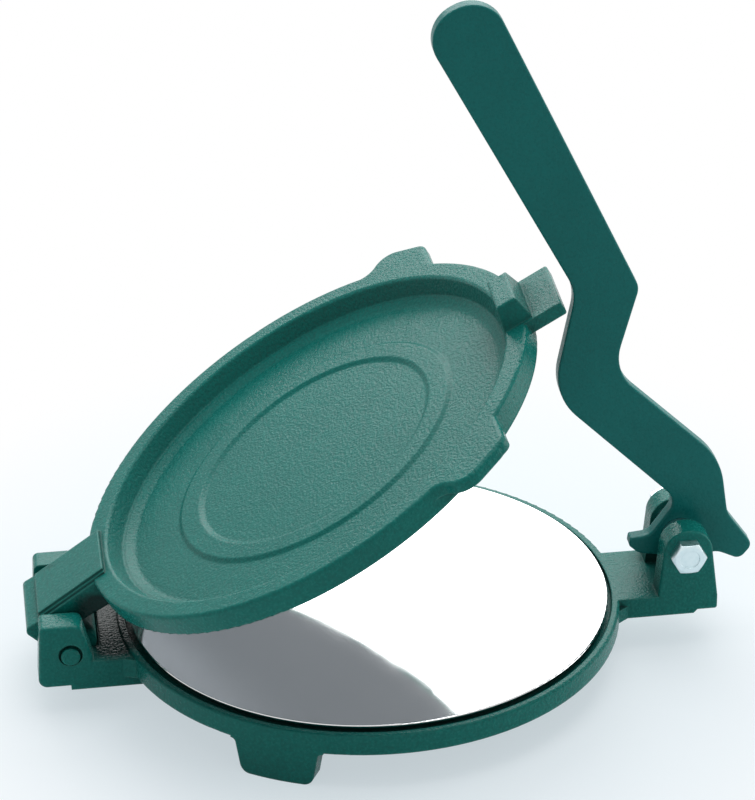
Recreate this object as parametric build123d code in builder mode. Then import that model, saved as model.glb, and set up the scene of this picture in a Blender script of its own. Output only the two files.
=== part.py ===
from build123d import *
import os
from math import cos, radians, sin, sqrt

# Hand-lever puri press: a cast base and a hinged cast plate, each faced with a steel disc,
# and a flat cranked lever that presses on the nose of the plate. Millimetres, +Z up.
# Everything is drawn about the middle of the bed, up from the plane that the feet stand on.
# The pieces are written with the origin under the middle of the overall box.
# +X runs from the hinge to the lever and +Y to the rear. The plate is drawn half open.

# Pressing discs and the adhesive films under them
lower_disc_radius = 81.9
lower_disc_thickness = 1.2
upper_disc_radius = 73.0
upper_disc_thickness = 1.5
disc_edge_round = 0.4
bond_thickness = 0.3
bond_inset = 1.0
closed_gap = 1.8

# Bed and rim of the base
foot_height = 12.2
rim_height = 7.8
rim_overhang = 4.1
rim_land = 2.7
rim_round = 1.2
bed_rim_round = 0.7
skirt_thickness = 9.0
bed_thickness = 5.5
groove_depth = 2.0
disc_overhang = 2.0
cast_round = 0.8

# Feet
foot_angles = (10, 118, 242)
foot_top_width = 29.0
foot_bottom_width = 24.6
foot_depth = 7.0
foot_flare = 1.6
foot_toe_round = 3.5

# Hinge pin and the clevis that holds it
pin_radius = 3.2
pin_rise = 1.55
pin_end_proud = 0.8
pin_chamfer = 0.6
pin_mouth_gap = 0.8
pin_mouth_rise = 0.6
pin_mouth_depth = 1.6
hinge_reach = 16.93
running_clearance = 0.05
knuckle_half_width = 15.0
knuckle_side_clearance = 1.1
hinge_ear_thickness = 9.5
hinge_ear_rise = 11.55
hinge_ear_back = 9.8
hinge_ear_front = 4.1
hinge_ear_draft = 1.5
hinge_ear_slope = 3.4
hinge_ear_toe = 6.8
hinge_ear_drop = 11.6
hinge_ear_round = 3.0
hinge_ear_corner = 2.0
hinge_ear_edge_round = 1.2
hinge_arm_step = 0.8
hinge_arm_drop = 3.5
hinge_gusset_length = 5.0
hinge_gusset_width = 2.0

# Knuckle and hinge arm of the upper plate
boss_wall = 6.1
slot_clearance = 0.9
slot_lip_reach = 5.0
slot_lip_thickness = 2.0
tail_reach = 10.6
tail_foot = 8.2
tail_round = 2.0
arm_top_reach = 3.3
arm_top_fall = 0.75
arm_rise = 1.5
arm_thickness_below_rim = 1.65
arm_end_setback = 6.0
arm_layers = 3
arm_layer_step = 1.15
arm_layer_drop = 0.8

# Upper plate, sizes down from the top of its rim
rest_angle = 30
upper_inset = 0.8
wall_depth = 8.6
platen_depth = 10.9
platen_margin = 1.5
rim_top_width = 7.6
dish_slope_run = 2.9
dish_ledge_depth = 6.2
dish_ledge_width = 1.1
dish_ledge_fall = 0.2
dish_step_run = 2.6
dish_depth = 7.8
dish_floor_round = 4.0
ring_radius = 53.2
ring_width = 10.0
ring_height = 0.9
ring_slope_run = 1.6

# Nose of the upper plate: a tab for the lever and a raised block on the rim
tab_half_width = 13.8
tab_thickness = 4.6
tab_edge_round = 0.8
tab_pivot_distance = 10.3
block_height = 8.0
block_top_length = 7.0
block_base_length = 11.5
block_top_half_width = 9.7
block_base_half_width = 13.0
block_setback = 3.5

# Side lugs of the upper plate
lug_reach = 11.5
lug_thickness = 4.0
lug_nose_side = 62.4
lug_hinge_side = 47.8
lug_turn = 1.9
lug_round = 4.0
lug_shoulder_round = 7.5
lug_edge_round = 1.5
lug_fillet = 6.0

# Lever clevis and its hardware
pivot_reach = 21.6
pivot_rise = 0.3
lever_ear_radius = 8.5
lever_ear_shift = 0.4
lever_ear_thickness = 8.8
lever_ear_draft = 1.6
lever_ear_edge_round = 0.8
lever_gap_half = 7.2
lever_arm_thickness = 7.5
lever_gusset_length = 4.5
lever_gusset_width = 3.5
lever_gusset_height = 4.8
lever_arm_overhang = 10.9
lever_arm_end_round = 0.8
lever_heel_start = 2.8
lever_heel_run = 1.4
lever_heel_rise = 1.4
lever_ear_lift = 2.8
lever_notch_start = 0.8
bolt_radius = 3.175
bolt_hole_clearance = 0.15
bolt_across_flats = 10.6
bolt_head_height = 4.2
bolt_head_turn = 0
bolt_head_bevel = 0.45
bolt_head_bevel_rise = 2.7
bolt_head_recess_radius = 3.4
bolt_head_recess_depth = 0.4
bolt_end_length = 1.2
washer_radius = 7.2
washer_thickness = 1.2
nut_height = 4.4
nut_turn = 30
spacer_radius = 6.2
spacer_play = 0.1

# Lever: corners of its outline from the pivot, as x, z and corner radius
lever_thickness = 5.0
lever_edge_round = 0.6
lever_swing_ratio = 1.63
lever_drawn_angle = 30
lever_grip_width = 24.6
lever_tip_x = -77.3
lever_tip_z = 197.0
lever_grip_lean = 26.5
lever_foot = (
    (-15.8, 95.3, 6.5),
    (-24.1, 64.9, 16.0),
    (13.7, 28.2, 26.0),
    (16.7, 6.7, 10.0),
    (26.0, -6.7, 3.2),
    (21.6, -12.1, 3.0),
    (13.9, -8.3, 6.0),
    (0.0, -9.1, 12.0),
    (-14.1, -6.4, 4.5),
    (-17.4, -3.3, 1.6),
    (-17.0, -0.4, 0.8),
    (-10.3, 0.2, 5.0),
    (-0.9, 13.3, 6.0),
    (-44.7, 57.2, 22.0),
    (-37.0, 95.2, 16.0),
)

# Levels and radii that follow from the sizes above
rim_top = foot_height + rim_height
lower_disc_bottom = rim_top + bond_thickness
lower_disc_top = lower_disc_bottom + lower_disc_thickness
closed_rim_top = lower_disc_top + closed_gap + upper_disc_thickness + bond_thickness + platen_depth
rim_radius = lower_disc_radius + rim_overhang
pad_radius = lower_disc_radius - disc_overhang
upper_radius = rim_radius - upper_inset
platen_radius = upper_disc_radius + platen_margin
hinge_x = -(rim_radius + hinge_reach)
pin_z = rim_top + pin_rise
pin_depth = closed_rim_top - pin_z
slot_half = knuckle_half_width + knuckle_side_clearance
hinge_arm_half = slot_half + hinge_ear_thickness
hinge_arm_top = rim_top - hinge_arm_step
hinge_arm_bottom = foot_height - hinge_arm_drop
boss_radius = pin_radius + boss_wall
slot_end = hinge_x + boss_radius + slot_clearance
pivot_x = rim_radius + pivot_reach
pivot_z = closed_rim_top + pivot_rise
lever_arm_half = lever_gap_half + lever_ear_thickness
lever_arm_top = rim_top
lever_arm_bottom = lever_arm_top - lever_arm_thickness
lever_heel_top = lever_arm_bottom + lever_heel_rise
lever_ear_bottom = lever_arm_bottom + lever_ear_lift
lever_ear_left = lever_ear_shift - lever_ear_radius - lever_ear_draft

# Planes of the half-open plate: its rim's top plane, and its upright plane of symmetry
open_cos = cos(radians(rest_angle))
open_sin = sin(radians(rest_angle))
plate_origin = (
    hinge_x - hinge_x * open_cos - pin_depth * open_sin,
    0,
    pin_z - hinge_x * open_sin + pin_depth * open_cos,
)
plate_top = Plane(plate_origin, x_dir=(open_cos, 0, open_sin), z_dir=(-open_sin, 0, open_cos))
plate_side = Plane(plate_origin, x_dir=(open_cos, 0, open_sin), z_dir=(0, -1, 0))
plate_axis = Axis(plate_origin, (-open_sin, 0, open_cos))

# The lever stands as far back as the plate needs when the plate is drawn lower
lever_turn = radians(lever_swing_ratio * min(0, rest_angle - lever_drawn_angle))
lever_side = Plane(
    (pivot_x, 0, pivot_z), x_dir=(cos(lever_turn), 0, sin(lever_turn)), z_dir=(0, -1, 0)
)
pivot_front = Plane((pivot_x, 0, pivot_z), x_dir=(1, 0, 0), z_dir=(0, -1, 0))
pin_front = Plane((hinge_x, 0, pin_z), x_dir=(1, 0, 0), z_dir=(0, -1, 0))


def rounded_face(corners):
    """Make the flat face whose outline runs through corners given as x, y and corner radius."""
    points = [(x, y) for x, y, _ in corners]
    with BuildSketch() as face:
        with BuildLine():
            FilletPolyline(points, radius=[radius for _, _, radius in corners], close=True)
        make_face()
    return face.sketch


def arm_plan(half_width, far_end, near_radius):
    """Draw an arm of the base that runs from near_radius to far_end."""
    with BuildSketch(Plane.XY) as plan:
        with Locations((far_end / 2, 0)):
            Rectangle(abs(far_end), 2 * half_width)
        Circle(near_radius, mode=Mode.SUBTRACT)
    return plan.sketch


def gusset_plan(half_width, flare, length):
    """Draw the straight gussets that widen an arm by flare on each side where it meets the rim."""
    root = sqrt(rim_radius**2 - (half_width + flare) ** 2) - cast_round
    with BuildSketch(Plane.XY) as plan:
        with BuildLine():
            Polyline(
                (root + length, half_width),
                (root, half_width + flare),
                (root, -half_width - flare),
                (root + length, -half_width),
                close=True,
            )
        make_face()
        Circle(rim_radius - cast_round, mode=Mode.SUBTRACT)
    return plan.sketch


def hex_prism(plane, across_flats, height, turn):
    """Extrude a hexagon from plane towards the front, with two corners level when turn is 0."""
    with BuildPart() as prism:
        with BuildSketch(plane):
            RegularPolygon(across_flats / 2, 6, major_radius=False, rotation=turn)
        extrude(amount=height)
    return prism.part


# Lower disc and the film that holds it on the bed
with BuildPart() as lower_disc_bond:
    with BuildSketch(Plane.XY.offset(rim_top)):
        Circle(pad_radius - bond_inset)
    extrude(amount=bond_thickness)

with BuildPart() as lower_disc:
    with BuildSketch(Plane.XY.offset(lower_disc_bottom)):
        Circle(lower_disc_radius)
    extrude(amount=lower_disc_thickness)
    fillet(lower_disc.edges().filter_by(GeomType.CIRCLE), disc_edge_round)


def above_arm(edge):
    """Tell whether an edge's middle lies over the arms of the base."""
    return edge.center().Z > hinge_arm_top + cast_round


# One ear of the hinge clevis, cut from the front of the arm
with BuildPart() as hinge_ear:
    with BuildSketch(pin_front.offset(slot_half)):
        add(
            rounded_face(
                (
                    (-hinge_ear_back - hinge_ear_draft, -hinge_ear_drop, hinge_ear_round),
                    (-hinge_ear_back, hinge_ear_rise, hinge_ear_corner),
                    (hinge_ear_front, hinge_ear_rise, hinge_ear_round),
                    (hinge_ear_front + hinge_ear_slope, hinge_arm_top - pin_z, 0),
                    (hinge_ear_front + hinge_ear_slope + hinge_ear_toe, hinge_arm_top - pin_z, 0),
                    (hinge_ear_front + hinge_ear_slope + hinge_ear_toe, -hinge_ear_drop, 0),
                )
            )
        )
    extrude(amount=hinge_ear_thickness)
    fillet(hinge_ear.faces().sort_by(Axis.Y)[0].edges().filter_by(above_arm), hinge_ear_edge_round)

# One ear of the lever clevis
with BuildPart() as lever_ear:
    with BuildSketch(pivot_front.offset(lever_gap_half)):
        add(
            rounded_face(
                (
                    (lever_ear_shift - lever_ear_radius, 0, 0),
                    (lever_ear_left, lever_arm_top - pivot_z, 0),
                    (lever_ear_left - lever_ear_radius, lever_arm_top - pivot_z, 0),
                    (lever_ear_left - lever_ear_radius, lever_ear_bottom - pivot_z, 0),
                    (lever_arm_overhang, lever_ear_bottom - pivot_z, 0),
                    (lever_arm_overhang, lever_arm_top - pivot_z, 0),
                    (lever_ear_shift + lever_ear_radius, 0, 0),
                )
            )
        )
        with Locations((lever_ear_shift, 0)):
            Circle(lever_ear_radius)
    extrude(amount=lever_ear_thickness)
    fillet(lever_ear.faces().sort_by(Axis.Y)[0].edges().filter_by(above_arm), lever_ear_edge_round)

# One foot, under the lever's side, flush with the wall of the rim
with BuildPart() as foot:
    with BuildSketch(Plane((rim_radius, 0, 0), x_dir=(0, -1, 0), z_dir=(-1, 0, 0))):
        add(
            rounded_face(
                (
                    (-foot_top_width / 2 - foot_flare, foot_height + rim_round, 0),
                    (-foot_top_width / 2 - foot_flare, foot_height, 0),
                    (-foot_top_width / 2, foot_height, foot_flare),
                    (-foot_bottom_width / 2, 0, foot_toe_round),
                    (foot_bottom_width / 2, 0, foot_toe_round),
                    (foot_top_width / 2, foot_height, foot_flare),
                    (foot_top_width / 2 + foot_flare, foot_height, 0),
                    (foot_top_width / 2 + foot_flare, foot_height + rim_round, 0),
                )
            )
        )
    extrude(amount=foot_depth)
    with BuildSketch(Plane.XY):
        Circle(rim_radius)
    extrude(amount=rim_top, mode=Mode.INTERSECT)

# Base: revolved bed and rim, two arms with their ears, three feet
with BuildPart() as base_casting:
    with BuildSketch(Plane.XZ):
        add(
            rounded_face(
                (
                    (0, rim_top - bed_thickness, 0),
                    (rim_radius - skirt_thickness, rim_top - bed_thickness, 0),
                    (rim_radius - skirt_thickness, foot_height, 0),
                    (rim_radius, foot_height, rim_round),
                    (rim_radius, rim_top, bed_rim_round),
                    (rim_radius - rim_land, rim_top, cast_round / 2),
                    (rim_radius - rim_land, rim_top - groove_depth, 0),
                    (pad_radius, rim_top - groove_depth, 0),
                    (pad_radius, rim_top, 0),
                    (0, rim_top, 0),
                )
            )
        )
    revolve(axis=Axis.Z)
    with BuildSketch(Plane.XY.offset(hinge_arm_bottom)):
        add(arm_plan(hinge_arm_half, hinge_x - cast_round / 2, rim_radius - cast_round))
    extrude(amount=hinge_arm_top - hinge_arm_bottom)
    with BuildSketch(Plane.XY.offset(hinge_arm_bottom)):
        add(arm_plan(hinge_arm_half, hinge_x + boss_radius, rim_radius - skirt_thickness))
    extrude(amount=hinge_arm_drop + rim_round)
    with BuildSketch(Plane.XY.offset(foot_height)):
        add(gusset_plan(hinge_arm_half, hinge_gusset_width, hinge_gusset_length), rotation=180)
    extrude(amount=hinge_arm_top - foot_height)
    add(hinge_ear.part)
    add(mirror(hinge_ear.part, about=Plane.XZ))
    with BuildSketch(Plane.XY.offset(hinge_arm_bottom)):
        with Locations((slot_end, 0)):
            Rectangle(-hinge_x, 2 * slot_half, align=(Align.MAX, Align.CENTER))
    extrude(amount=pin_z + hinge_ear_rise, mode=Mode.SUBTRACT)
    with BuildSketch(Plane.XY.offset(hinge_arm_bottom)):
        with Locations((slot_end, 0)):
            Rectangle(slot_lip_reach, 2 * slot_half, align=(Align.MAX, Align.CENTER))
    extrude(amount=slot_lip_thickness)
    with BuildSketch(Plane.XY.offset(lever_arm_bottom)):
        add(arm_plan(lever_arm_half, pivot_x, rim_radius - cast_round))
    extrude(amount=lever_arm_thickness)
    with BuildSketch(Plane.XY.offset(lever_arm_bottom)):
        add(gusset_plan(lever_arm_half, lever_gusset_width, lever_gusset_length))
    extrude(amount=lever_gusset_height)
    with BuildSketch(pivot_front):
        add(
            rounded_face(
                (
                    (-lever_ear_radius, lever_arm_bottom - pivot_z, 0),
                    (lever_heel_start, lever_arm_bottom - pivot_z, 0),
                    (lever_heel_start + lever_heel_run, lever_heel_top - pivot_z, 0),
                    (lever_arm_overhang, lever_heel_top - pivot_z, lever_arm_end_round),
                    (lever_arm_overhang, lever_arm_top - pivot_z, lever_arm_end_round),
                    (-lever_ear_radius, lever_arm_top - pivot_z, 0),
                )
            )
        )
    extrude(amount=lever_arm_half, both=True)
    add(lever_ear.part)
    add(mirror(lever_ear.part, about=Plane.XZ))
    with BuildSketch(Plane.XY.offset(lever_arm_bottom)):
        with Locations((pivot_x + lever_notch_start, 0)):
            Rectangle(lever_arm_overhang, 2 * lever_gap_half, align=(Align.MIN, Align.CENTER))
    extrude(amount=lever_arm_thickness + cast_round, mode=Mode.SUBTRACT)
    for angle in foot_angles:
        add(foot.part.rotate(Axis.Z, angle))
    with Locations(pin_front.offset(hinge_arm_half)):
        Hole(pin_radius + running_clearance)
    for ear_face in (hinge_arm_half - pin_mouth_depth, -hinge_arm_half):
        with BuildSketch(pin_front.offset(ear_face)):
            with Locations((0, pin_mouth_rise)):
                Circle(pin_radius + pin_mouth_gap)
        extrude(amount=pin_mouth_depth, mode=Mode.SUBTRACT)
    with Locations(pivot_front.offset(lever_arm_half)):
        Hole(bolt_radius + bolt_hole_clearance)

# Hinge pin
with BuildPart() as hinge_pin:
    with BuildSketch(pin_front):
        Circle(pin_radius)
    extrude(amount=hinge_arm_half + pin_end_proud, both=True)
    chamfer(hinge_pin.edges().filter_by(GeomType.CIRCLE), pin_chamfer)


def plate_reach(edge):
    """Distance of an edge's middle from the plate's axis."""
    local = plate_top.to_local_coords(edge.center())
    return sqrt(local.X**2 + local.Y**2)


def off_rim(corner):
    """Tell whether a corner of a lug's plan lies clear of the plate's rim."""
    return Vector(corner).length > upper_radius + lug_round


# One side lug of the upper plate, on the rear side
lug_radius = upper_radius + lug_reach
lug_root = lug_hinge_side - lug_reach - lug_fillet
with BuildPart() as side_lug:
    with BuildSketch(plate_top.offset(-lug_thickness)) as lug_plan:
        Circle(upper_radius)
        nose_corner = sqrt(lug_radius**2 - lug_nose_side**2)
        hinge_corner = sqrt(lug_radius**2 - lug_hinge_side**2)
        with BuildLine():
            Polyline(
                (lug_nose_side, 0),
                (lug_nose_side, nose_corner),
                (lug_hinge_side, hinge_corner),
                (lug_hinge_side - hinge_corner, 0),
                close=True,
            )
        make_face()
        fillet(lug_plan.vertices().filter_by(off_rim).sort_by(Axis.X)[-1], lug_round)
        fillet(lug_plan.vertices().filter_by(off_rim).sort_by(Axis.X)[0], lug_shoulder_round)
        rim_meets = lug_plan.vertices().filter_by(lambda v: abs(Vector(v).length - upper_radius) < cast_round)
        fillet(rim_meets.filter_by(lambda v: v.Y > lug_round).sort_by(Axis.X)[0], lug_fillet)
        with Locations((lug_nose_side, 0)):
            Rectangle(
                lug_nose_side - lug_root, lug_radius, align=(Align.MAX, Align.MIN), mode=Mode.INTERSECT
            )
        Circle(upper_radius - rim_top_width / 2, mode=Mode.SUBTRACT)
    extrude(amount=lug_thickness)
    top_edges = side_lug.faces().sort_by(plate_axis)[-1].edges()
    fillet(top_edges.filter_by(lambda e: plate_reach(e) > upper_radius + cast_round), lug_edge_round)

# Raised block on the rim at the nose, a frustum that reaches down into the rim
with BuildPart() as nose_block:
    block_mid = upper_radius - block_setback
    with BuildSketch(plate_top.offset(-tab_thickness / 2)):
        with Locations((block_mid, 0)):
            Rectangle(block_base_length, 2 * block_base_half_width)
    with BuildSketch(plate_top.offset(block_height)):
        with Locations((block_mid, 0)):
            Rectangle(block_top_length, 2 * block_top_half_width)
    loft()
    fillet(nose_block.faces().sort_by(plate_axis)[-1].edges(), cast_round)

# Tab that the lever works on
tab_end = pivot_x - tab_pivot_distance
with BuildPart() as nose_tab:
    with BuildSketch(plate_top.offset(-tab_thickness)):
        with Locations((tab_end, 0)):
            Rectangle(
                tab_end - upper_radius + rim_top_width / 2,
                2 * tab_half_width,
                align=(Align.MAX, Align.CENTER),
            )
    extrude(amount=tab_thickness)
    end_face = nose_tab.faces().sort_by(Axis(plate_origin, (open_cos, 0, open_sin)))[-1]
    fillet(end_face.edges().filter_by(Axis.Y), tab_edge_round)

# Upper plate: revolved dish and platen, nose, lugs, hinge arm and knuckle
rim_inner = upper_radius - rim_top_width
ledge_outer = rim_inner - dish_slope_run
ledge_inner = ledge_outer - dish_ledge_width
dish_radius = ledge_inner - dish_step_run
arm_end = -hinge_x - upper_radius + arm_end_setback
arm_underside = pin_depth - wall_depth - arm_thickness_below_rim
arm_top_start = pin_depth - arm_top_fall
knuckle_side = Plane((hinge_x, 0, pin_z), x_dir=(open_cos, 0, open_sin), z_dir=(0, -1, 0))
with BuildPart() as upper_casting:
    with BuildSketch(plate_side):
        add(
            rounded_face(
                (
                    (0, -platen_depth, 0),
                    (platen_radius, -platen_depth, cast_round / 2),
                    (platen_radius, -wall_depth, 0),
                    (upper_radius, -wall_depth, rim_round),
                    (upper_radius, 0, rim_round),
                    (rim_inner, 0, rim_round),
                    (ledge_outer, -dish_ledge_depth, cast_round),
                    (ledge_inner, -dish_ledge_depth - dish_ledge_fall, cast_round),
                    (dish_radius, -dish_depth, dish_floor_round),
                    (ring_radius, -dish_depth, cast_round),
                    (ring_radius - ring_slope_run, ring_height - dish_depth, cast_round),
                    (ring_radius - ring_width + ring_slope_run, ring_height - dish_depth, cast_round),
                    (ring_radius - ring_width, -dish_depth, cast_round),
                    (0, -dish_depth, 0),
                )
            )
        )
    revolve(axis=plate_axis)
    add(side_lug.part.rotate(plate_axis, lug_turn))
    add(mirror(side_lug.part, about=Plane.XZ).rotate(plate_axis, lug_turn))
    add(nose_tab.part)
    add(nose_block.part)
    for layer in range(arm_layers):
        drop = layer * arm_layer_drop
        half_width = knuckle_half_width - (arm_layers - 1 - layer) * arm_layer_step
        with BuildSketch(knuckle_side):
            add(
                rounded_face(
                    (
                        (-arm_top_reach, arm_underside, 0),
                        (-arm_top_reach, arm_top_start - drop, 0),
                        (arm_end, pin_depth + arm_rise - drop, 0),
                        (arm_end, arm_underside, 0),
                    )
                )
            )
        extrude(amount=half_width, both=True)
    with BuildSketch(knuckle_side):
        Circle(boss_radius)
        add(
            rounded_face(
                (
                    (-tail_foot, arm_underside, 0),
                    (-tail_reach, arm_top_start - drop, tail_round),
                    (0, arm_top_start - drop, 0),
                    (-hinge_x - upper_radius + rim_round, arm_underside, 0),
                )
            )
        )
    extrude(amount=knuckle_half_width, both=True)
    with Locations(pin_front.offset(knuckle_half_width)):
        Hole(pin_radius + running_clearance)

# Upper disc and the film that holds it under the platen
with BuildPart() as upper_disc_bond:
    with BuildSketch(plate_top.offset(-platen_depth - bond_thickness)):
        Circle(upper_disc_radius - bond_inset)
    extrude(amount=bond_thickness)

with BuildPart() as upper_disc:
    with BuildSketch(plate_top.offset(-platen_depth - bond_thickness - upper_disc_thickness)):
        Circle(upper_disc_radius)
    extrude(amount=upper_disc_thickness)
    fillet(upper_disc.edges().filter_by(GeomType.CIRCLE), disc_edge_round)

# Lever: one flat bar with a rounded grip and an anchor-shaped foot
grip_sin = sin(radians(lever_grip_lean))
grip_cos = cos(radians(lever_grip_lean))
grip_half = lever_grip_width / 2
tip_round = grip_half - cast_round
grip_corners = (
    (lever_tip_x - grip_half * grip_cos, lever_tip_z - grip_half * grip_sin, tip_round),
    (lever_tip_x + grip_half * grip_cos, lever_tip_z + grip_half * grip_sin, tip_round),
)
with BuildPart() as lever_bar:
    with BuildSketch(lever_side):
        add(rounded_face(grip_corners + lever_foot))
    extrude(amount=lever_thickness / 2, both=True)
    fillet(lever_bar.faces().sort_by(Axis.Y)[0].edges(), lever_edge_round)
    fillet(lever_bar.faces().sort_by(Axis.Y)[-1].edges(), lever_edge_round)
    with Locations(pivot_front.offset(lever_thickness / 2)):
        Hole(bolt_radius + running_clearance)

# Pivot bolt with a bevelled hex head at the front
nut_seat = lever_arm_half + washer_thickness
bolt_end = nut_seat + nut_height + bolt_end_length
with BuildPart() as pivot_bolt:
    with BuildSketch(pivot_front.offset(-bolt_end)):
        Circle(bolt_radius)
    extrude(amount=bolt_end + lever_arm_half)
    chamfer(pivot_bolt.faces().sort_by(Axis.Y)[-1].edges(), pin_chamfer)
    add(hex_prism(pivot_front.offset(lever_arm_half), bolt_across_flats, bolt_head_height, bolt_head_turn))
    with BuildSketch(Plane((pivot_x, 0, pivot_z), x_dir=(1, 0, 0), z_dir=(0, 0, 1))):
        with BuildLine():
            Polyline(
                (bolt_across_flats / 2 - bolt_head_bevel, -lever_arm_half - bolt_head_height),
                (bolt_across_flats, -lever_arm_half - bolt_head_height),
                (bolt_across_flats, -lever_arm_half - bolt_head_height + bolt_head_bevel_rise),
                close=True,
            )
        make_face()
    revolve(axis=Axis((pivot_x, 0, pivot_z), (0, 1, 0)), mode=Mode.SUBTRACT)
    with BuildSketch(pivot_front.offset(lever_arm_half + bolt_head_height - bolt_head_recess_depth)):
        Circle(bolt_head_recess_radius)
    extrude(amount=bolt_head_height, mode=Mode.SUBTRACT)


def turned_ring(plane, outer_radius, bore_radius, length):
    """Extrude a round ring from plane towards the front."""
    with BuildPart() as ring:
        with BuildSketch(plane):
            Circle(outer_radius)
            Circle(bore_radius, mode=Mode.SUBTRACT)
        extrude(amount=length)
    return ring


ring_bore = bolt_radius + bolt_hole_clearance
spacer_length = lever_gap_half - lever_thickness / 2 - spacer_play
nut_washer = turned_ring(pivot_front.offset(-nut_seat), washer_radius, ring_bore, washer_thickness)
spacer_front = turned_ring(
    pivot_front.offset(lever_gap_half - spacer_length), spacer_radius, ring_bore, spacer_length
)
spacer_rear = turned_ring(pivot_front.offset(-lever_gap_half), spacer_radius, ring_bore, spacer_length)

# Lock nut at the rear
with BuildPart() as pivot_nut:
    add(hex_prism(pivot_front.offset(-nut_seat - nut_height), bolt_across_flats, nut_height, nut_turn))
    with Locations(pivot_front.offset(-nut_seat)):
        Hole(bolt_radius + running_clearance)

pieces = {
    "base_casting": base_casting,
    "lower_disc_bond": lower_disc_bond,
    "lower_disc": lower_disc,
    "hinge_pin": hinge_pin,
    "upper_casting": upper_casting,
    "upper_disc_bond": upper_disc_bond,
    "upper_disc": upper_disc,
    "lever_bar": lever_bar,
    "pivot_bolt": pivot_bolt,
    "nut_washer": nut_washer,
    "spacer_front": spacer_front,
    "spacer_rear": spacer_rear,
    "pivot_nut": pivot_nut,
}
boxes = [piece.part.bounding_box() for piece in pieces.values()]
middle_x = (min(box.min.X for box in boxes) + max(box.max.X for box in boxes)) / 2
os.makedirs("parts", exist_ok=True)
for name, piece in pieces.items():
    solid = piece.part.moved(Location((-middle_x, 0, 0)))
    solid.label = name
    export_step(solid, f"parts/{name}.step")
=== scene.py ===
"""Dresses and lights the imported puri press.

The castings and the lever are powder coated green, the discs are steel and the pivot is zinc
plated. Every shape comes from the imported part: this script adds finishes, a floor, lamps and a
camera.
"""
import logging
import math
from dataclasses import dataclass
from enum import Enum

import bpy
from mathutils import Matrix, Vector

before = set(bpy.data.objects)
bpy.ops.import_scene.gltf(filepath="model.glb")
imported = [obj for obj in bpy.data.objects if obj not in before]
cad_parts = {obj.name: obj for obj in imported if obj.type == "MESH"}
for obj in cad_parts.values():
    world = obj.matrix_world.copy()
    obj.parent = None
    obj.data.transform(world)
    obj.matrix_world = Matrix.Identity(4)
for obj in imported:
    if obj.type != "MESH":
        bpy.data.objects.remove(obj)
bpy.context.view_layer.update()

LOG = logging.getLogger("puri_press")
MM = 0.001
# Rays that a Bevel or Ambient Occlusion node sends out at each point.
PROBE_RAYS = 6
# Blender's Wave texture turns through 20 radians per unit at a scale of 1.
WAVE_RADIANS = 20.0
MID_TONE = 0.5

Colour = tuple[float, float, float, float]
Place = tuple[float, float, float]
Span = tuple[float, float]
WHITE: Colour = (1.0, 1.0, 1.0, 1.0)


def linear(hex_code: str) -> Colour:
    """Turn an sRGB hex colour into linear light.

    Args:
        hex_code: colour as #RRGGBB.

    Returns:
        The linear colour with full alpha.
    """
    parts = [int(hex_code[i:i + 2], 16) / 255 for i in (1, 3, 5)]
    red, green, blue = (
        p / 12.92 if p <= 0.04045 else ((p + 0.055) / 1.055) ** 2.4 for p in parts)
    return red, green, blue, 1.0


def per_metre(size_mm: float) -> float:
    """Texture scale at which one feature of a pattern is size_mm wide on Object coordinates."""
    return 1.0 / (size_mm * MM)


def add_node(tree: bpy.types.NodeTree, kind: str, inputs: dict | None = None,
             **settings: object) -> bpy.types.Node:
    """Add a node with its settings, its values and its links.

    Args:
        tree: node tree that takes the node.
        kind: Blender's name of the node type.
        inputs: values or output sockets by input name or number.
        settings: attributes of the node.

    Returns:
        The new node.
    """
    node = tree.nodes.new(kind)
    for name, value in settings.items():
        setattr(node, name, value)
    for key, value in (inputs or {}).items():
        if isinstance(value, bpy.types.NodeSocket):
            tree.links.new(value, node.inputs[key])
        else:
            node.inputs[key].default_value = value
    return node


def new_material(name: str) -> tuple[bpy.types.Material, bpy.types.NodeTree, bpy.types.Node]:
    """Make an empty node material.

    Args:
        name: the material's name.

    Returns:
        The material, its node tree and its output node.
    """
    material = bpy.data.materials.new(name)
    material.use_nodes = True
    tree = material.node_tree
    tree.nodes.clear()
    return material, tree, add_node(tree, "ShaderNodeOutputMaterial")


def dress(node: str, material: bpy.types.Material) -> None:
    """Give a CAD node one material all over."""
    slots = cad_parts[node].data.materials
    slots.clear()
    slots.append(material)
    LOG.info("dressed %s in %s", node, material.name)


@dataclass(frozen=True)
class Ramp:
    """A straight ramp that turns one span of values into another."""

    start: float
    end: float
    low: float = 0.0
    high: float = 1.0

    def on(self, value: bpy.types.NodeSocket) -> dict[str, object]:
        """List the inputs that put the ramp on a value.

        Args:
            value: socket that gives the value.

        Returns:
            Inputs of a Map Range node by name.
        """
        return {"Value": value, "From Min": self.start, "From Max": self.end,
                "To Min": self.low, "To Max": self.high}


class Sheen(Enum):
    """Roughness of a cured coat: a casting's pooled skin is glossier than a thin coat on a bar."""

    CASTING = 0.22
    BAR = 0.30


@dataclass(frozen=True)
class PaintedShadow:
    """A painted shadow: a dark patch laid into the colour, given by its middle and its reach, in
    metres.
    """

    centre: Place
    reach: Place


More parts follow.
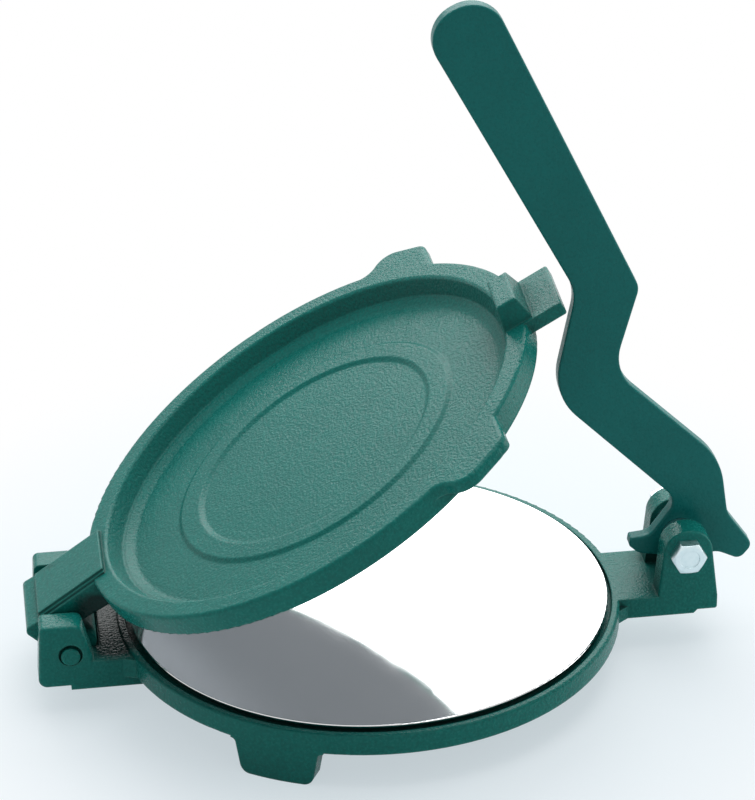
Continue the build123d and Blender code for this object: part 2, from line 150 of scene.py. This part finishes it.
@dataclass(frozen=True)
class GreenPowderCoat:
    """Green powder coat, sprayed dry and baked: a glossy skin broken up by a fine stipple.

    Its colour is paler along edges, a painted highlight, and dark in its creases and over an
    optional patch, which is painted shade.
    """

    name: str
    colour: str = "#188479"
    deep_colour: str = "#0B5B55"
    # The paler colour laid along edges is a painted highlight.
    edge_highlight_colour: str = "#4C9489"
    # The dark colour laid into creases and over the shadow patch is painted shade.
    crevice_shade_colour: str = "#05211F"
    sheen: Sheen = Sheen.CASTING
    speckle: float = 0.16
    grain_mm: float = 0.95
    swell_mm: float = 9.0
    mottle_mm: float = 34.0
    grain_height_mm: float = 0.25
    grain_strength: float = 0.8
    swell_height_mm: float = 0.14
    swell_strength: float = 0.6
    edge_mm: float = 1.0
    crevice_mm: float = 26.0
    grain_span: Span = (0.34, 0.64)
    gloss_span: Span = (0.3, 0.7)
    gloss_swing: Span = (-0.06, 0.08)
    # Where along an edge the painted highlight starts, and how strong it gets.
    edge_highlight: Ramp = Ramp(0.985, 0.80, 0.0, 0.75)
    clouds: Ramp = Ramp(0.35, 0.65, 0.72, 0.92)
    # How the painted crease shade grows as the ambient occlusion closes in.
    crevice_shade_ramp: Ramp = Ramp(0.88, 0.40, 0.0, 0.90)
    # How the painted shadow patch fades out from its middle.
    shadow_ramp: Ramp = Ramp(1.6, 1.2, 0.0, 0.92)
    dulling: Ramp = Ramp(0.0, 1.0, 0.0, 0.5)
    ior: float = 1.45
    specular_level: float = 0.14
    # An optional dark patch, a painted shadow.
    painted_shadow: PaintedShadow | None = None

    def add_paint(self, tree: bpy.types.NodeTree, place: bpy.types.NodeSocket,
                  grain: bpy.types.NodeSocket,
                  rounded: bpy.types.NodeSocket) -> bpy.types.NodeSocket:
        """Add the clean coat's colour.

        Args:
            tree: the material's node tree.
            place: Object coordinates.
            grain: height of the stipple.
            rounded: normal with its edges rounded off.

        Returns:
            The colour.
        """
        mottle = add_node(tree, "ShaderNodeTexNoise", {
            "Vector": place, "Scale": per_metre(self.mottle_mm), "Detail": 3.0})
        speckle = add_node(tree, "ShaderNodeMapRange", Ramp(
            *self.grain_span, MID_TONE - self.speckle, MID_TONE + self.speckle).on(grain))
        clouds = add_node(tree, "ShaderNodeMapRange", self.clouds.on(mottle.outputs["Fac"]))
        share = add_node(tree, "ShaderNodeMath", {
            0: speckle.outputs["Result"], 1: clouds.outputs["Result"]}, operation="MULTIPLY")
        coat = add_node(tree, "ShaderNodeMix", {
            "Factor": share.outputs["Value"],
            "A": linear(self.deep_colour), "B": linear(self.colour)}, data_type="RGBA")
        # Near an edge the rounded normal leaves the flat one: there the colour is paler, a painted
        # highlight.
        flat = add_node(tree, "ShaderNodeNewGeometry")
        match = add_node(tree, "ShaderNodeVectorMath", {
            0: rounded, 1: flat.outputs["Normal"]}, operation="DOT_PRODUCT")
        edge = add_node(tree, "ShaderNodeMapRange", self.edge_highlight.on(match.outputs["Value"]))
        highlighted = add_node(tree, "ShaderNodeMix", {
            "Factor": edge.outputs["Result"],
            "A": coat.outputs["Result"], "B": linear(self.edge_highlight_colour)}, data_type="RGBA")
        return highlighted.outputs["Result"]

    def add_crevice_shade(self, tree: bpy.types.NodeTree) -> bpy.types.NodeSocket:
        """Add the share of painted shade, laid into the colour where the casting closes in on
        itself.

        Args:
            tree: the material's node tree.

        Returns:
            The share, from 0 to 1.
        """
        shelter = add_node(tree, "ShaderNodeAmbientOcclusion", {
            "Distance": self.crevice_mm * MM}, samples=PROBE_RAYS, only_local=True)
        crevice_shade = add_node(tree, "ShaderNodeMapRange", self.crevice_shade_ramp.on(shelter.outputs["AO"]))
        return crevice_shade.outputs["Result"]

    def add_painted_shadow(self, tree: bpy.types.NodeTree, place: bpy.types.NodeSocket,
                   swell: bpy.types.NodeSocket,
                   crevice_shade: bpy.types.NodeSocket) -> bpy.types.NodeSocket:
        """Add the painted shadow patch to the painted crease shade, with a ragged edge.

        Args:
            tree: the material's node tree.
            place: Object coordinates.
            swell: slow unevenness of the coat.
            crevice_shade: share of painted shade in the creases.

        Returns:
            The share of painted shade, in the creases or in the shadow patch, whichever is the
            larger.
        """
        if self.painted_shadow is None:
            return crevice_shade
        about = add_node(tree, "ShaderNodeMapping", {
            "Vector": place, "Location": self.painted_shadow.centre, "Scale": self.painted_shadow.reach},
            vector_type="TEXTURE")
        away = add_node(tree, "ShaderNodeVectorMath", {
            0: about.outputs["Vector"]}, operation="LENGTH")
        ragged = add_node(tree, "ShaderNodeMath", {
            0: away.outputs["Value"], 1: swell}, operation="ADD")
        shadow_share = add_node(tree, "ShaderNodeMapRange", self.shadow_ramp.on(ragged.outputs["Value"]))
        shade_share = add_node(tree, "ShaderNodeMath", {
            0: crevice_shade, 1: shadow_share.outputs["Result"]}, operation="MAXIMUM")
        return shade_share.outputs["Value"]

    def add_gloss(self, tree: bpy.types.NodeTree, grain: bpy.types.NodeSocket,
                  crevice_shade: bpy.types.NodeSocket) -> bpy.types.NodeSocket:
        """Add the roughness, which rises a little with the stipple and more with the painted
        crease shade.

        Args:
            tree: the material's node tree.
            grain: height of the stipple.
            crevice_shade: share of painted shade in the creases.

        Returns:
            The roughness.
        """
        low, high = (self.sheen.value + swing for swing in self.gloss_swing)
        gloss = add_node(tree, "ShaderNodeMapRange", Ramp(*self.gloss_span, low, high).on(grain))
        dull = add_node(tree, "ShaderNodeMapRange", self.dulling.on(crevice_shade))
        rough = add_node(tree, "ShaderNodeMath", {
            0: gloss.outputs["Result"], 1: dull.outputs["Result"]}, operation="ADD")
        return rough.outputs["Value"]

    def make(self) -> bpy.types.Material:
        """Build the coat's nodes.

        Returns:
            The material.
        """
        material, tree, output = new_material(self.name)
        place = add_node(tree, "ShaderNodeTexCoord").outputs["Object"]
        # The real stipple is about half as wide; it is drawn at grain_mm so that it shows.
        grain = add_node(tree, "ShaderNodeTexNoise", {
            "Vector": place, "Scale": per_metre(self.grain_mm),
            "Detail": 1.0, "Roughness": 0.5}).outputs["Fac"]
        swell = add_node(tree, "ShaderNodeTexNoise", {
            "Vector": place, "Scale": per_metre(self.swell_mm), "Detail": 1.0}).outputs["Fac"]
        rounded = add_node(tree, "ShaderNodeBevel", {
            "Radius": self.edge_mm * MM}, samples=PROBE_RAYS).outputs["Normal"]
        paint = self.add_paint(tree, place, grain, rounded)
        crevice_shade = self.add_crevice_shade(tree)
        # Painted shade: the colour turns dark in the creases and over the shadow patch.
        skin = add_node(tree, "ShaderNodeMix", {
            "Factor": self.add_painted_shadow(tree, place, swell, crevice_shade),
            "A": paint, "B": linear(self.crevice_shade_colour)}, data_type="RGBA")
        slow = add_node(tree, "ShaderNodeBump", {
            "Height": swell, "Normal": rounded,
            "Distance": self.swell_height_mm * MM, "Strength": self.swell_strength})
        fine = add_node(tree, "ShaderNodeBump", {
            "Height": grain, "Normal": slow.outputs["Normal"],
            "Distance": self.grain_height_mm * MM, "Strength": self.grain_strength})
        shader = add_node(tree, "ShaderNodeBsdfPrincipled", {
            "Base Color": skin.outputs["Result"],
            "Roughness": self.add_gloss(tree, grain, crevice_shade),
            "Normal": fine.outputs["Normal"],
            "IOR": self.ior, "Specular IOR Level": self.specular_level})
        tree.links.new(shader.outputs["BSDF"], output.inputs["Surface"])
        return material


@dataclass(frozen=True)
class SteelSheet:
    """Stainless sheet, polished to a near mirror or left duller, with faint turning rings."""

    name: str
    centre: Place
    lean_deg: float = 0.0
    colour: str = "#D9DADB"
    roughness: float = 0.06
    roughness_swing: Span = (-0.012, 0.018)
    haze_mm: float = 22.0
    haze_span: Span = (0.3, 0.7)
    ring_pitch_mm: float = 4.74
    ring_height_mm: float = 0.0003
    ring_strength: float = 0.5

    def make(self) -> bpy.types.Material:
        """Build the sheet's nodes.

        Returns:
            The material.
        """
        material, tree, output = new_material(self.name)
        place = add_node(tree, "ShaderNodeTexCoord").outputs["Object"]
        about = add_node(tree, "ShaderNodeMapping", {
            "Vector": place, "Location": self.centre,
            "Rotation": (0.0, math.radians(-self.lean_deg), 0.0)},
            vector_type="TEXTURE").outputs["Vector"]
        # Real polishing marks are finer than a pixel; rings are drawn at ring_pitch_mm to show.
        rings = add_node(tree, "ShaderNodeTexWave", {
            "Vector": about, "Distortion": 0.0,
            "Scale": per_metre(self.ring_pitch_mm) * 2 * math.pi / WAVE_RADIANS},
            wave_type="RINGS", rings_direction="Z")
        haze = add_node(tree, "ShaderNodeTexNoise", {
            "Vector": about, "Scale": per_metre(self.haze_mm), "Detail": 4.0})
        low, high = (self.roughness + swing for swing in self.roughness_swing)
        rough = add_node(tree, "ShaderNodeMapRange", Ramp(
            *self.haze_span, low, high).on(haze.outputs["Fac"]))
        marks = add_node(tree, "ShaderNodeBump", {
            "Height": rings.outputs["Fac"],
            "Distance": self.ring_height_mm * MM, "Strength": self.ring_strength})
        shader = add_node(tree, "ShaderNodeBsdfPrincipled", {
            "Base Color": linear(self.colour), "Metallic": 1.0,
            "Roughness": rough.outputs["Result"], "Normal": marks.outputs["Normal"]})
        tree.links.new(shader.outputs["BSDF"], output.inputs["Surface"])
        return material


@dataclass(frozen=True)
class ZincPlate:
    """Bright zinc plate on steel: a pale bluish metal, softly mottled and rounded at its edges."""

    name: str
    colour: str = "#E2F0F3"
    dull_colour: str = "#C6DBE1"
    crystal_mm: float = 1.6
    roughness: float = 0.30
    roughness_swing: Span = (-0.08, 0.10)
    edge_mm: float = 0.35
    dent_height_mm: float = 0.03
    dent_strength: float = 0.4

    def make(self) -> bpy.types.Material:
        """Build the plated metal's nodes.

        Returns:
            The material.
        """
        material, tree, output = new_material(self.name)
        place = add_node(tree, "ShaderNodeTexCoord").outputs["Object"]
        crystal = add_node(tree, "ShaderNodeTexNoise", {
            "Vector": place, "Scale": per_metre(self.crystal_mm), "Detail": 3.0}).outputs["Fac"]
        tone = add_node(tree, "ShaderNodeMix", {
            "Factor": crystal, "A": linear(self.dull_colour), "B": linear(self.colour)},
            data_type="RGBA")
        low, high = (self.roughness + swing for swing in self.roughness_swing)
        rough = add_node(tree, "ShaderNodeMapRange", Ramp(0.0, 1.0, low, high).on(crystal))
        rounded = add_node(tree, "ShaderNodeBevel", {
            "Radius": self.edge_mm * MM}, samples=PROBE_RAYS)
        dents = add_node(tree, "ShaderNodeBump", {
            "Height": crystal, "Normal": rounded.outputs["Normal"],
            "Distance": self.dent_height_mm * MM, "Strength": self.dent_strength})
        shader = add_node(tree, "ShaderNodeBsdfPrincipled", {
            "Base Color": tone.outputs["Result"], "Metallic": 1.0,
            "Roughness": rough.outputs["Result"], "Normal": dents.outputs["Normal"]})
        tree.links.new(shader.outputs["BSDF"], output.inputs["Surface"])
        return material


@dataclass(frozen=True)
class CuredAdhesive:
    """Cured black epoxy film: dull and slightly lumpy where it was squeezed out."""

    name: str
    colour: str = "#15181A"
    pale_colour: str = "#24292B"
    roughness: float = 0.65
    lump_mm: float = 2.5
    lump_height_mm: float = 0.05
    lump_strength: float = 0.5

    def make(self) -> bpy.types.Material:
        """Build the film's nodes.

        Returns:
            The material.
        """
        material, tree, output = new_material(self.name)
        place = add_node(tree, "ShaderNodeTexCoord").outputs["Object"]
        lumps = add_node(tree, "ShaderNodeTexNoise", {
            "Vector": place, "Scale": per_metre(self.lump_mm), "Detail": 2.0}).outputs["Fac"]
        tone = add_node(tree, "ShaderNodeMix", {
            "Factor": lumps, "A": linear(self.colour), "B": linear(self.pale_colour)},
            data_type="RGBA")
        ripple = add_node(tree, "ShaderNodeBump", {
            "Height": lumps,
            "Distance": self.lump_height_mm * MM, "Strength": self.lump_strength})
        shader = add_node(tree, "ShaderNodeBsdfPrincipled", {
            "Base Color": tone.outputs["Result"], "Roughness": self.roughness,
            "Normal": ripple.outputs["Normal"]})
        tree.links.new(shader.outputs["BSDF"], output.inputs["Surface"])
        return material


@dataclass
class Base:
    """The cast base with its feet, ears and bonded steel disc, and the pin through its ears."""

    bed_centre: Place = (-0.008, 0.0, 0.0215)
    # A dark patch laid on the arm's top between the hinge ears: a painted shadow of the upper
    # plate.
    slot_painted_shadow: PaintedShadow = PaintedShadow((-0.0965, -0.004, 0.0192), (0.014, 0.022, 0.004))
    pin_edge_mm: float = 0.4

    def dress(self) -> None:
        """Coat the casting and the pin's ends, and polish the disc."""
        coat = GreenPowderCoat("stippled_green_powder_coat", painted_shadow=self.slot_painted_shadow)
        dress("base_casting", coat.make())
        dress("lower_disc", SteelSheet("polished_stainless_bed", self.bed_centre).make())
        dress("lower_disc_bond", CuredAdhesive("cured_black_epoxy_bed").make())
        pin_coat = GreenPowderCoat("green_coated_pin_ends", edge_mm=self.pin_edge_mm)
        dress("hinge_pin", pin_coat.make())


@dataclass
class UpperPlate:
    """The hinged cast plate with its bonded steel disc."""

    disc_centre: Place = (-0.0227, 0.0, 0.0745)
    lean_deg: float = 30.0
    disc_colour: str = "#858B90"
    disc_roughness: float = 0.32
    # A dark patch laid on the knuckle's side below the arm: painted shade.
    knuckle_painted_shadow: PaintedShadow = PaintedShadow((-0.101, 0.0, 0.031), (0.015, 0.030, 0.008))

    def dress(self) -> None:
        """Coat the casting and finish its disc."""
        coat = GreenPowderCoat("stippled_green_powder_coat_plate", painted_shadow=self.knuckle_painted_shadow)
        dress("upper_casting", coat.make())
        platen = SteelSheet("dull_stainless_platen", self.disc_centre, self.lean_deg,
                            self.disc_colour, self.disc_roughness)
        dress("upper_disc", platen.make())
        dress("upper_disc_bond", CuredAdhesive("cured_black_epoxy_platen").make())


@dataclass
class Lever:
    """The flat lever with its pivot bolt, spacers, washer and nut."""

    colour: str = "#18837E"
    deep_colour: str = "#0B5A57"
    speckle: float = 0.05
    grain_height_mm: float = 0.08
    swell_height_mm: float = 0.05
    hardware: tuple[str, ...] = (
        "pivot_bolt", "pivot_nut", "nut_washer", "spacer_front", "spacer_rear")

    def dress(self) -> None:
        """Coat the bar and plate its hardware."""
        coat = GreenPowderCoat(
            "smooth_green_powder_coat_bar", self.colour, self.deep_colour, sheen=Sheen.BAR,
            speckle=self.speckle, grain_height_mm=self.grain_height_mm,
            swell_height_mm=self.swell_height_mm)
        dress("lever_bar", coat.make())
        plate = ZincPlate("bright_zinc_plate").make()
        for node in self.hardware:
            dress(node, plate)


@dataclass(frozen=True)
class Softbox:
    """One area lamp that looks at a point of the object."""

    name: str
    place: Place
    aim: Place
    width: float
    height: float
    watts: float

    def build(self) -> None:
        """Add the lamp."""
        data = bpy.data.lights.new(self.name, "AREA")
        data.shape = "RECTANGLE"
        data.size = self.width
        data.size_y = self.height
        data.energy = self.watts
        lamp = bpy.data.objects.new(self.name, data)
        lamp.location = self.place
        toward = Vector(self.aim) - Vector(self.place)
        lamp.rotation_euler = toward.to_track_quat("-Z", "Y").to_euler()
        bpy.context.scene.collection.objects.link(lamp)


@dataclass
class Studio:
    """Floor, surroundings, lamps and camera."""

    floor_radius: float = 3.0
    floor_sides: int = 96
    near_radius: float = 0.10
    far_radius: float = 0.23
    floor_colour: str = "#F7F7F7"
    # The pale blue glow near the object is painted light in the floor's shadow.
    shadow_glow_colour: str = "#C4E6F7"
    glow_share: float = 0.62
    sky_colour: str = "#EEF3F7"
    front_strength: float = 0.20
    rear_strength: float = 0.75
    camera_place: Place = (-0.12811, -0.99706, 0.63358)
    camera_turn_deg: Place = (61.8429, 0.8457, -7.5745)
    lens_mm: float = 154.436
    softboxes: tuple[Softbox, ...] = (
        Softbox("rear_softbox", (0.15, 1.25, 0.85), (0.0, 0.0, 0.05), 1.5, 0.9, 14.0),
        Softbox("top_softbox", (0.1, 0.2, 1.5), (0.0, 0.0, 0.05), 1.2, 1.0, 10.5),
        Softbox("right_softbox", (1.3, 0.1, 0.22), (0.0, 0.0, 0.08), 0.9, 0.8, 5.2),
    )

    def seen_by_eye(self, tree: bpy.types.NodeTree) -> bpy.types.NodeSocket:
        """Find the rays that show the background: direct, in a mirror or through glass.

        Args:
            tree: node tree that takes the nodes.

        Returns:
            1 on such a ray and 0 on any other.
        """
        path = add_node(tree, "ShaderNodeLightPath").outputs
        mirrored = add_node(tree, "ShaderNodeMath", {
            0: path["Is Camera Ray"], 1: path["Is Glossy Ray"]}, operation="MAXIMUM")
        through = add_node(tree, "ShaderNodeMath", {
            0: mirrored.outputs["Value"], 1: path["Is Transmission Ray"]}, operation="MAXIMUM")
        return through.outputs["Value"]

    def build_floor(self) -> None:
        """Lay a pale floor that keeps the shadow, lightened and tinted blue near the object by a
        glow that is painted light, and fades to white away from the object.
        """
        bpy.ops.object.select_all(action="DESELECT")
        bpy.ops.mesh.primitive_circle_add(
            vertices=self.floor_sides, radius=self.floor_radius, fill_type="NGON")
        floor = bpy.context.object
        floor.name = "floor"
        material, tree, output = new_material("pale_floor")
        place = add_node(tree, "ShaderNodeTexCoord").outputs["Object"]
        away = add_node(tree, "ShaderNodeVectorMath", {0: place}, operation="LENGTH")
        spread = Ramp(self.near_radius, self.far_radius, self.glow_share)
        fade = add_node(tree, "ShaderNodeMapRange", spread.on(away.outputs["Value"]),
                        interpolation_type="SMOOTHSTEP").outputs["Result"]
        shown = add_node(tree, "ShaderNodeMath", {
            0: fade, 1: self.seen_by_eye(tree)}, operation="MULTIPLY")
        paper = add_node(tree, "ShaderNodeBsdfDiffuse", {"Color": linear(self.floor_colour)})
        # Painted light: near the object the floor glows pale blue to camera and mirror rays, which
        # lightens its shadow and tints it blue; further out the glow turns white.
        tint = add_node(tree, "ShaderNodeMix", {
            "Factor": fade, "A": linear(self.shadow_glow_colour), "B": WHITE}, data_type="RGBA")
        white = add_node(tree, "ShaderNodeEmission", {
            "Color": tint.outputs["Result"], "Strength": 1.0})
        mixed = add_node(tree, "ShaderNodeMixShader", {
            0: shown.outputs["Value"], 1: paper.outputs["BSDF"], 2: white.outputs["Emission"]})
        tree.links.new(mixed.outputs["Shader"], output.inputs["Surface"])
        floor.data.materials.append(material)

    def build_sky(self) -> None:
        """Surround the scene with plain light, dimmer from the front, on a white background."""
        world = bpy.data.worlds.new("studio")
        bpy.context.scene.world = world
        world.use_nodes = True
        tree = world.node_tree
        tree.nodes.clear()
        around = add_node(tree, "ShaderNodeTexCoord").outputs["Generated"]
        toward = add_node(tree, "ShaderNodeSeparateXYZ", {0: around})
        front_to_rear = Ramp(-1.0, 1.0, self.front_strength, self.rear_strength)
        level = add_node(tree, "ShaderNodeMapRange", front_to_rear.on(toward.outputs["Y"]))
        soft = add_node(tree, "ShaderNodeBackground", {
            "Color": linear(self.sky_colour), "Strength": level.outputs["Result"]})
        white = add_node(tree, "ShaderNodeBackground", {"Color": WHITE, "Strength": 1.0})
        mixed = add_node(tree, "ShaderNodeMixShader", {
            0: self.seen_by_eye(tree),
            1: soft.outputs["Background"], 2: white.outputs["Background"]})
        output = add_node(tree, "ShaderNodeOutputWorld")
        tree.links.new(mixed.outputs["Shader"], output.inputs["Surface"])

    def build_camera(self) -> None:
        """Set the camera where the photograph was taken from."""
        data = bpy.data.cameras.new("camera")
        data.lens = self.lens_mm
        camera = bpy.data.objects.new("camera", data)
        camera.location = self.camera_place
        camera.rotation_euler = [math.radians(angle) for angle in self.camera_turn_deg]
        bpy.context.scene.collection.objects.link(camera)
        bpy.context.scene.camera = camera

    def build(self) -> None:
        """Build the whole studio."""
        bpy.context.scene.view_settings.view_transform = "Standard"
        self.build_floor()
        self.build_sky()
        self.build_camera()
        for softbox in self.softboxes:
            softbox.build()


def main() -> None:
    """Dress each sub-assembly in order, then set up the studio."""
    logging.basicConfig(level=logging.INFO, format="%(message)s")
    Base().dress()
    UpperPlate().dress()
    Lever().dress()
    Studio().build()


if __name__ == "__main__":
    main()
